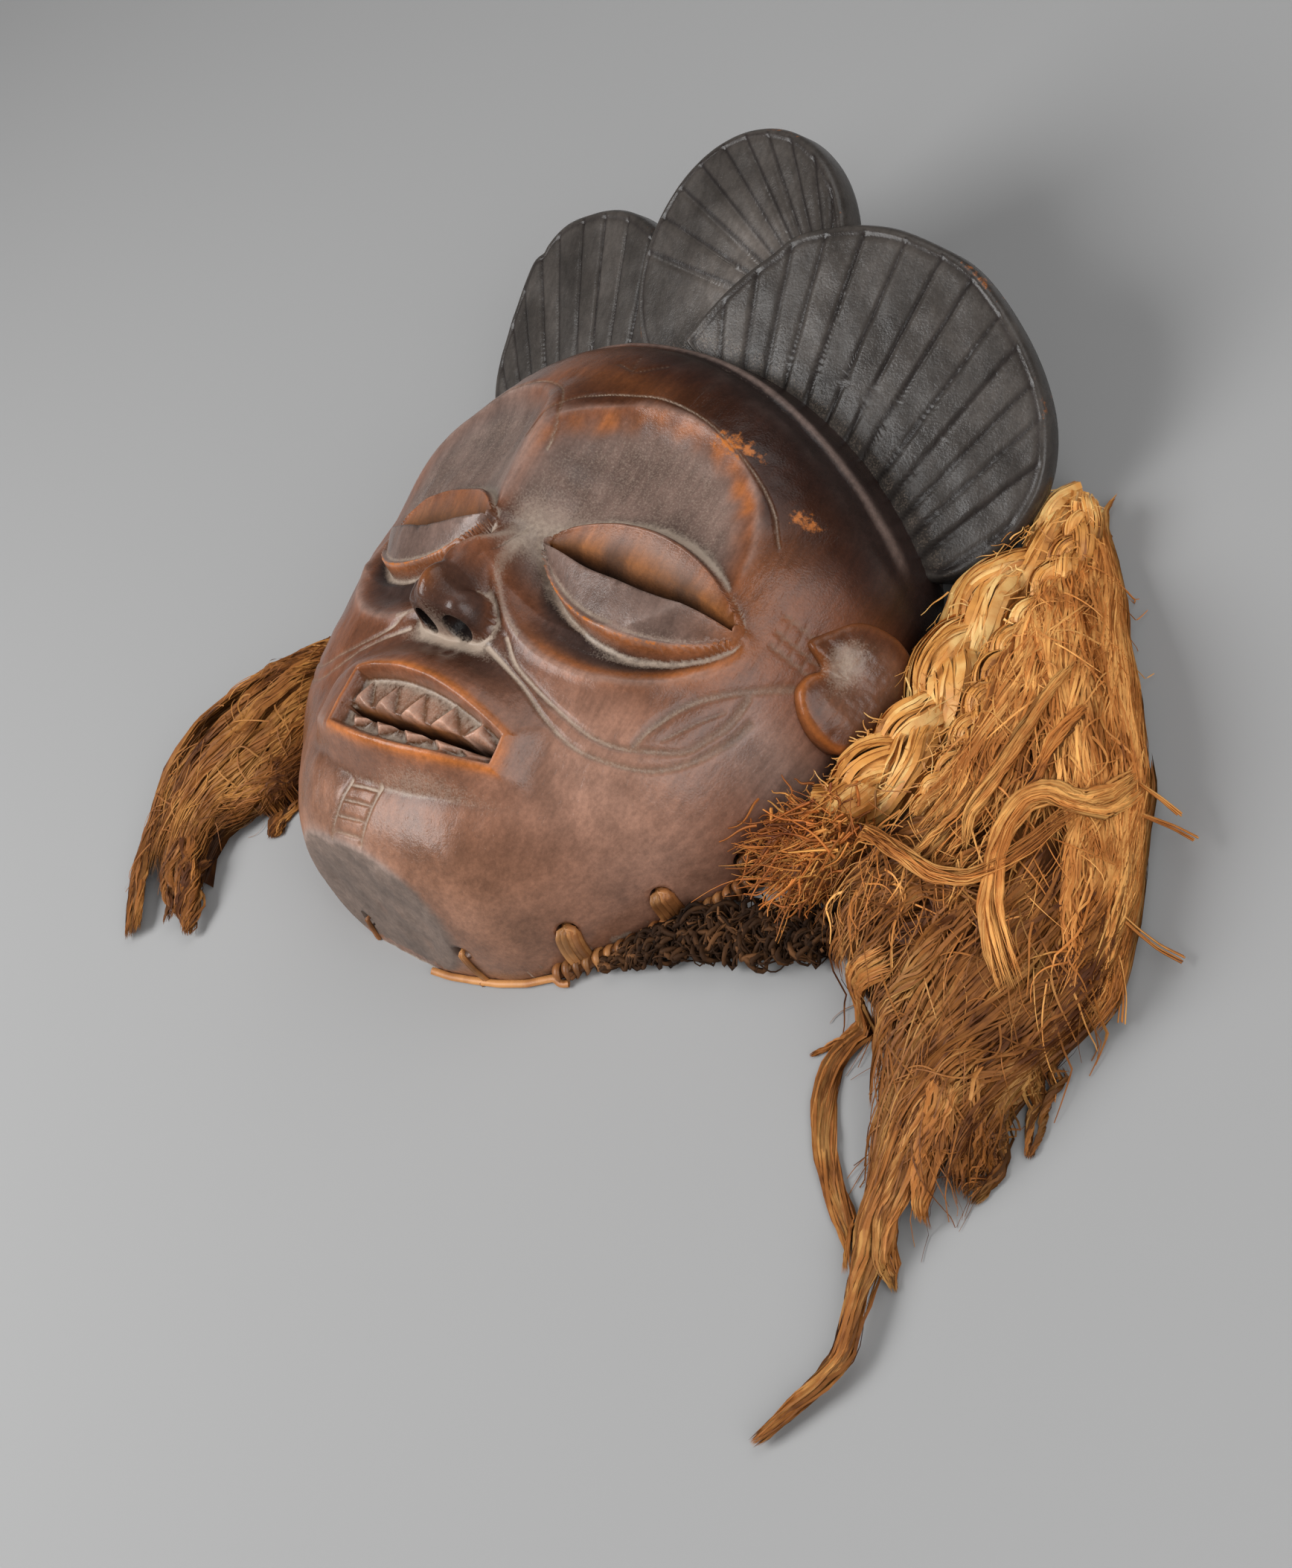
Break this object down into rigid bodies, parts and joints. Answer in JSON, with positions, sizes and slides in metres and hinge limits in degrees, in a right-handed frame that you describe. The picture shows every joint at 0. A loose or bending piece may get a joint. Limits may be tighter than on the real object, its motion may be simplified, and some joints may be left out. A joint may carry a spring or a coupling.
{
  "type": "carved wooden face mask with fibre hair",
  "caption": "Dark carved wooden face mask with almond eyes, pointed teeth and a fan-shaped coiffure, edged with a plaited fibre band and long raffia hair.",
  "frame": {"origin": "middle of the whole object, hair included, on the surface that the mask's back rim lies on", "axes": "+Z out of the face, +Y from the chin to the crest, +X to the mask's own left"},
  "size_m": [0.367, 0.331, 0.0865],
  "materials": {
    "wood": "dark reddish brown, hand polished, black on the coiffure, worn orange on the edges, pale dust in the cuts",
    "gold_fibre": "dry plaited plant fibre, golden tan",
    "raffia": "long dyed raffia strands, orange brown",
    "dark_raffia": "raffia strands, dark brown",
    "dark_cord": "knotted cord, near black brown",
    "stitch_cord": "twisted cord, brown"
  },
  "bodies": {
    "root": {"mask": "wood", "plait_left": "gold_fibre", "plait_left_end": "gold_fibre", "plait_right": "gold_fibre", "netting": "dark_cord", "hair_left": "raffia", "tuft_right": "dark_raffia", "stitch_1": "stitch_cord", "stitch_2": "stitch_cord", "stitch_3": "stitch_cord", "stitch_4": "stitch_cord", "stitch_5": "stitch_cord"}
  },
  "joints": []
}
